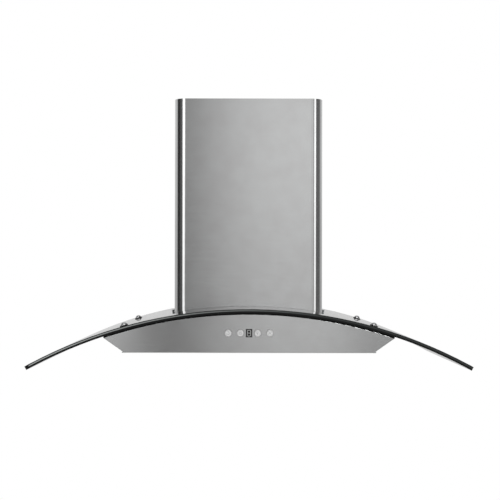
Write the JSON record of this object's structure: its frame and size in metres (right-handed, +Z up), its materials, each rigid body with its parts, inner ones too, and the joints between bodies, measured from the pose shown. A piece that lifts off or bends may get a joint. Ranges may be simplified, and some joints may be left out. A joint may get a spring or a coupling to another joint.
{
  "type": "curved glass range hood",
  "caption": "Wall-mounted chimney range hood with an arched clear glass canopy, brushed steel body, push buttons, hinged baffle filters and a centrifugal blower.",
  "frame": {"origin": "centre of the four wall screw holes, on the rear plane that rests on the wall", "axes": "+X to the right seen from the front, +Y into the wall, +Z up"},
  "size_m": [0.9, 0.5, 0.5691],
  "materials": {
    "canopy_glass": "clear toughened, polished edges",
    "rubber": "matte black extruded strip",
    "black_rubber": "matte black moulded",
    "chrome": "polished",
    "zinc": "zinc plated",
    "brushed": "stainless sheet, brushed along its length",
    "filter_steel": "stainless sheet, satin",
    "galvanised": "galvanised sheet steel",
    "button": "silver plated plastic",
    "display": "smoked window",
    "board": "printed circuit laminate",
    "black_plastic": "moulded black",
    "grey_plastic": "moulded grey",
    "motor": "laminated steel and windings with end shields",
    "aluminium": "die cast, plain",
    "lens": "frosted diffuser"
  },
  "bodies": {
    "hood": {"glass_canopy": "canopy_glass", "glass_gasket": "rubber", "glass_bolts": "chrome", "bolt_washers": "black_rubber", "glass_bushes": "black_rubber", "bolt_nuts": "zinc", "front_panel": "brushed", "body_casing": "brushed", "top_plate": "galvanised", "under_panel": "brushed", "button_guide": "black_plastic", "display_window": "display", "control_board": "board", "display_module": "black_plastic", "box_sides": "galvanised", "box_back": "galvanised", "box_lid": "galvanised", "scroll_housing": "black_plastic", "motor_spider": "galvanised", "fan_motor": "motor", "outlet_collar": "black_plastic", "damper_pin": "zinc", "lower_chimney": "brushed", "chimney_bracket": "galvanised", "chimney_pads": "black_rubber", "capacitor": "aluminium", "terminal_box": "grey_plastic", "lamp_driver": "grey_plastic", "cable_gland": "black_plastic", "lamp_bezel_left": "chrome", "lamp_lens_left": "lens", "lamp_body_left": "aluminium", "inlet_ring_left": "galvanised", "lamp_bezel_right": "chrome", "lamp_lens_right": "lens", "lamp_body_right": "aluminium", "inlet_ring_right": "galvanised"},
    "button_1_body": {"button_1": "button"},
    "button_2_body": {"button_2": "button"},
    "button_3_body": {"button_3": "button"},
    "button_4_body": {"button_4": "button"},
    "filter_left": {"filter_frame_left": "filter_steel", "filter_baffles_left": "filter_steel"},
    "latch_left": {"filter_latch_left": "black_plastic"},
    "filter_right": {"filter_frame_right": "filter_steel", "filter_baffles_right": "filter_steel"},
    "latch_right": {"filter_latch_right": "black_plastic"},
    "blower_rotor": {"fan_wheel": "grey_plastic", "motor_shaft": "zinc"},
    "flap_front": {"damper_flap_front": "grey_plastic"},
    "flap_rear": {"damper_flap_rear": "grey_plastic"},
    "inner_chimney": {"upper_chimney": "brushed", "top_bracket": "galvanised"}
  },
  "joints": [
    {"name": "button_1_press", "type": "slide", "parent": "hood", "child": "button_1_body", "axis": [0, 1, 0], "range_m": [0, 0.001], "stiffness_N_per_m": 400},
    {"name": "button_2_press", "type": "slide", "parent": "hood", "child": "button_2_body", "axis": [0, 1, 0], "range_m": [0, 0.001], "stiffness_N_per_m": 400},
    {"name": "button_3_press", "type": "slide", "parent": "hood", "child": "button_3_body", "axis": [0, 1, 0], "range_m": [0, 0.001], "stiffness_N_per_m": 400},
    {"name": "button_4_press", "type": "slide", "parent": "hood", "child": "button_4_body", "axis": [0, 1, 0], "range_m": [0, 0.001], "stiffness_N_per_m": 400},
    {"name": "filter_left_swing", "type": "hinge", "parent": "hood", "child": "filter_left", "pos_m": [-0.116, -0.06, -0.1948], "axis": [1, 0, 0], "range_deg": [0, 75]},
    {"name": "latch_left_slide", "type": "slide", "parent": "filter_left", "child": "latch_left", "axis": [0, 1, 0], "range_m": [0, 0.006], "stiffness_N_per_m": 150},
    {"name": "filter_right_swing", "type": "hinge", "parent": "hood", "child": "filter_right", "pos_m": [0.116, -0.06, -0.1948], "axis": [1, 0, 0], "range_deg": [0, 75]},
    {"name": "latch_right_slide", "type": "slide", "parent": "filter_right", "child": "latch_right", "axis": [0, 1, 0], "range_m": [0, 0.006], "stiffness_N_per_m": 150},
    {"name": "blower_spin", "type": "hinge", "parent": "hood", "child": "blower_rotor", "pos_m": [0, -0.178, -0.014], "axis": [1, 0, 0], "continuous": true},
    {"name": "damper_front_swing", "type": "hinge", "parent": "hood", "child": "flap_front", "pos_m": [0, -0.09128, 0.152], "axis": [-1, 0, 0], "range_deg": [0, 70]},
    {"name": "damper_rear_swing", "type": "hinge", "parent": "hood", "child": "flap_rear", "pos_m": [0, -0.09128, 0.152], "axis": [1, 0, 0], "range_deg": [0, 70]},
    {"name": "chimney_slide", "type": "slide", "parent": "hood", "child": "inner_chimney", "axis": [0, 0, 1], "range_m": [0, 0.3]}
  ]
}
